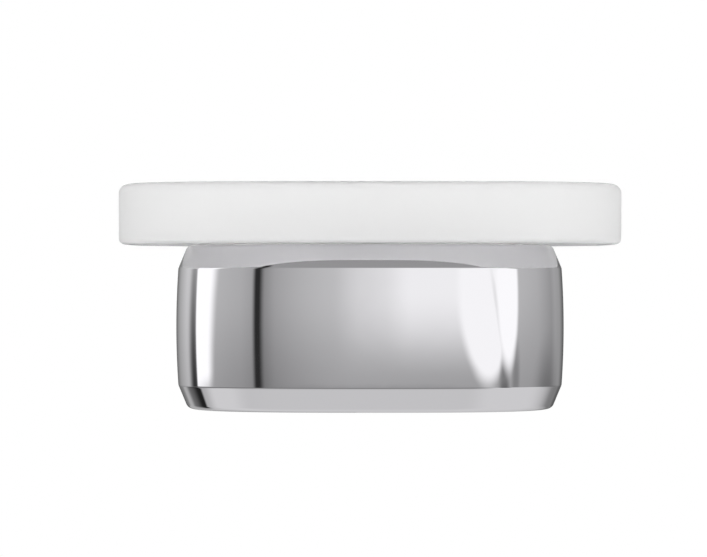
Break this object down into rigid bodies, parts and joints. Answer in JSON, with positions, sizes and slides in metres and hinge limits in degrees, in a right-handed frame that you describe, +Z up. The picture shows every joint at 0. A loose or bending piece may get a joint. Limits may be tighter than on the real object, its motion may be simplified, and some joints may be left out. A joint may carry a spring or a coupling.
{
  "type": "wall soap dish",
  "caption": "Satin glass soap dish resting in a chromed wall holder; the dish lifts out, and the holder hooks on a screwed wall plate.",
  "frame": {"origin": "centre of the wall plate's back face, on the wall's surface, half way up the holder", "axes": "+Y into the wall, along the outward normal of the plate's back; +X to the right as seen from the front; +Z up"},
  "size_m": [0.14, 0.149, 0.062],
  "materials": {
    "satin_glass": "acid-etched satin, milky white",
    "seat_plastic": "soft white moulded plastic",
    "holder_chrome": "mirror-polished chrome plating",
    "plate_zinc": "bare die-cast zinc, dull",
    "screw_steel": "stainless steel",
    "plug_nylon": "grey nylon"
  },
  "bodies": {
    "holder": {"dish_seat_ring": "seat_plastic", "holder_body": "holder_chrome", "wall_plate": "plate_zinc", "grub_screw": "screw_steel", "screw_washer_left": "screw_steel", "screw_washer_right": "screw_steel", "wall_screw_left": "screw_steel", "wall_screw_right": "screw_steel", "wall_plug_left": "plug_nylon", "wall_plug_right": "plug_nylon"},
    "dish": {"glass_dish": "satin_glass"}
  },
  "joints": [
    {"name": "dish_lift", "type": "slide", "parent": "holder", "child": "dish", "axis": [0, 0, 1], "range_m": [0, 0.03]}
  ]
}
